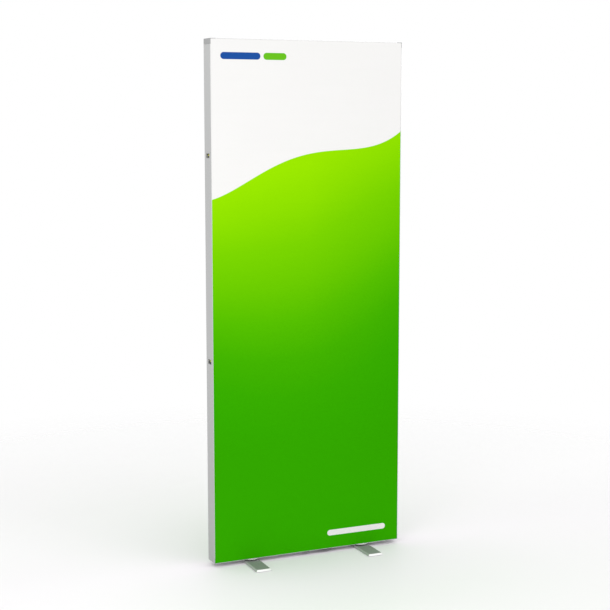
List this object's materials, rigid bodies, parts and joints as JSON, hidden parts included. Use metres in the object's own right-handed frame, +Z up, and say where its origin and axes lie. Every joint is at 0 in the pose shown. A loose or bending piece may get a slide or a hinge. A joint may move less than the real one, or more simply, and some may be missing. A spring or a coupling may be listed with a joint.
{
  "type": "tension fabric display frame",
  "caption": "Free-standing double-sided aluminium frame that holds a printed fabric stretched in each face, on flat swivel feet.",
  "frame": {"origin": "on the floor, at the middle of the object's footprint", "axes": "+Z up, -Y out of the front face, +X to the right seen from the front"},
  "size_m": [0.795, 0.3146, 2.016],
  "materials": {
    "profile_aluminium": "satin anodised, fine lengthwise grain",
    "corner_casting": "fine cast, matt grey",
    "foot_aluminium": "brushed along its length, bright bevels",
    "disc_aluminium": "turned, bright",
    "zinc_steel": "zinc plated",
    "lock_brass": "machined, yellow",
    "black_plastic": "fine texture",
    "pad_rubber": "matt",
    "silicone_edge": "smooth, slightly see-through",
    "fabric_front": "fine warp knit, printed white over a green wave",
    "fabric_back": "fine warp knit, printed white over a green wave"
  },
  "bodies": {
    "frame": {"back_edge_bottom": "silicone_edge", "back_edge_left": "silicone_edge", "back_edge_right": "silicone_edge", "back_edge_top": "silicone_edge", "back_fabric": "fabric_back", "bottom_rail": "profile_aluminium", "cable_outlet_cover": "black_plastic", "centre_buffer": "black_plastic", "corner_bottom_left": "corner_casting", "corner_bottom_right": "corner_casting", "corner_top_left": "corner_casting", "corner_top_right": "corner_casting", "crossbar": "profile_aluminium", "crossbar_bracket_left": "corner_casting", "crossbar_bracket_right": "corner_casting", "crossbar_screw_left": "zinc_steel", "crossbar_screw_right": "zinc_steel", "front_edge_bottom": "silicone_edge", "front_edge_left": "silicone_edge", "front_edge_right": "silicone_edge", "front_edge_top": "silicone_edge", "front_fabric": "fabric_front", "grub_screw_bottom_left_rail": "zinc_steel", "grub_screw_bottom_left_upright": "zinc_steel", "grub_screw_bottom_right_rail": "zinc_steel", "grub_screw_bottom_right_upright": "zinc_steel", "grub_screw_top_left_rail": "zinc_steel", "grub_screw_top_left_upright": "zinc_steel", "grub_screw_top_right_rail": "zinc_steel", "grub_screw_top_right_upright": "zinc_steel", "left_nut_plate": "zinc_steel", "left_pivot_screw": "zinc_steel", "left_splice_lower": "zinc_steel", "left_splice_upper": "zinc_steel", "left_swivel_disc": "disc_aluminium", "left_swivel_washer": "black_plastic", "left_upright_lower": "profile_aluminium", "left_upright_middle": "profile_aluminium", "left_upright_upper": "profile_aluminium", "right_nut_plate": "zinc_steel", "right_pivot_screw": "zinc_steel", "right_splice_lower": "zinc_steel", "right_splice_upper": "zinc_steel", "right_swivel_disc": "disc_aluminium", "right_swivel_washer": "black_plastic", "right_upright_lower": "profile_aluminium", "right_upright_middle": "profile_aluminium", "right_upright_upper": "profile_aluminium", "top_rail": "profile_aluminium"},
    "left_foot": {"left_foot": "foot_aluminium", "left_foot_pad_front": "pad_rubber", "left_foot_pad_rear": "pad_rubber"},
    "right_foot": {"right_foot": "foot_aluminium", "right_foot_pad_front": "pad_rubber", "right_foot_pad_rear": "pad_rubber"},
    "left_lock_lower": {"left_lock_lower": "lock_brass"},
    "left_lock_upper": {"left_lock_upper": "lock_brass"},
    "right_lock_lower": {"right_lock_lower": "lock_brass"},
    "right_lock_upper": {"right_lock_upper": "lock_brass"}
  },
  "joints": [
    {"name": "left_foot_swivel", "type": "hinge", "parent": "frame", "child": "left_foot", "pos_m": [-0.2394, -0.0095, 0.0115], "axis": [0, 0, 1], "range_deg": [-90, 90]},
    {"name": "right_foot_swivel", "type": "hinge", "parent": "frame", "child": "right_foot", "pos_m": [0.2394, -0.0095, 0.0115], "axis": [0, 0, 1], "range_deg": [-90, 90]},
    {"name": "left_lock_lower_turn", "type": "hinge", "parent": "frame", "child": "left_lock_lower", "pos_m": [-0.3932, 0.001, 0.8055], "axis": [-1, 0, 0], "range_deg": [0, 90]},
    {"name": "left_lock_upper_turn", "type": "hinge", "parent": "frame", "child": "left_lock_upper", "pos_m": [-0.3932, 0.001, 1.5865], "axis": [-1, 0, 0], "range_deg": [0, 90]},
    {"name": "right_lock_lower_turn", "type": "hinge", "parent": "frame", "child": "right_lock_lower", "pos_m": [0.3932, 0.001, 0.8055], "axis": [1, 0, 0], "range_deg": [0, 90]},
    {"name": "right_lock_upper_turn", "type": "hinge", "parent": "frame", "child": "right_lock_upper", "pos_m": [0.3932, 0.001, 1.5865], "axis": [1, 0, 0], "range_deg": [0, 90]}
  ]
}
